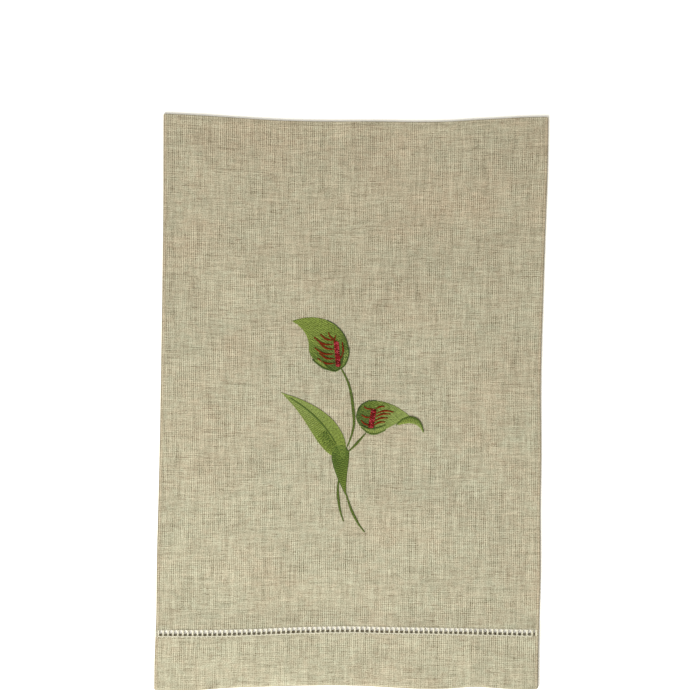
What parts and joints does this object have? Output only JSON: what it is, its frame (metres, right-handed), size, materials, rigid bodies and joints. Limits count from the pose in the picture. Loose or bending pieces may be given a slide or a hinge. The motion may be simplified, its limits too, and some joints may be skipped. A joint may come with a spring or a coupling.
{
  "type": "guest towel",
  "caption": "Flat rectangular linen guest towel, hemmed on all sides, with a drawn-thread row above its deep lower hem and an embroidered flower spray; it lies face up for drying hands.",
  "frame": {"origin": "on the surface that the towel lies on, under the middle of its box", "axes": "+Y up the towel's length, from its deep hem to its top edge; +X across it to the right, seen face up; +Z away from the surface"},
  "size_m": [0.3656, 0.5348, 0.0032],
  "materials": {
    "linen": "matt plain-weave natural linen with uneven threads"
  },
  "bodies": {
    "root": {"towel_cloth": "linen"}
  },
  "joints": []
}
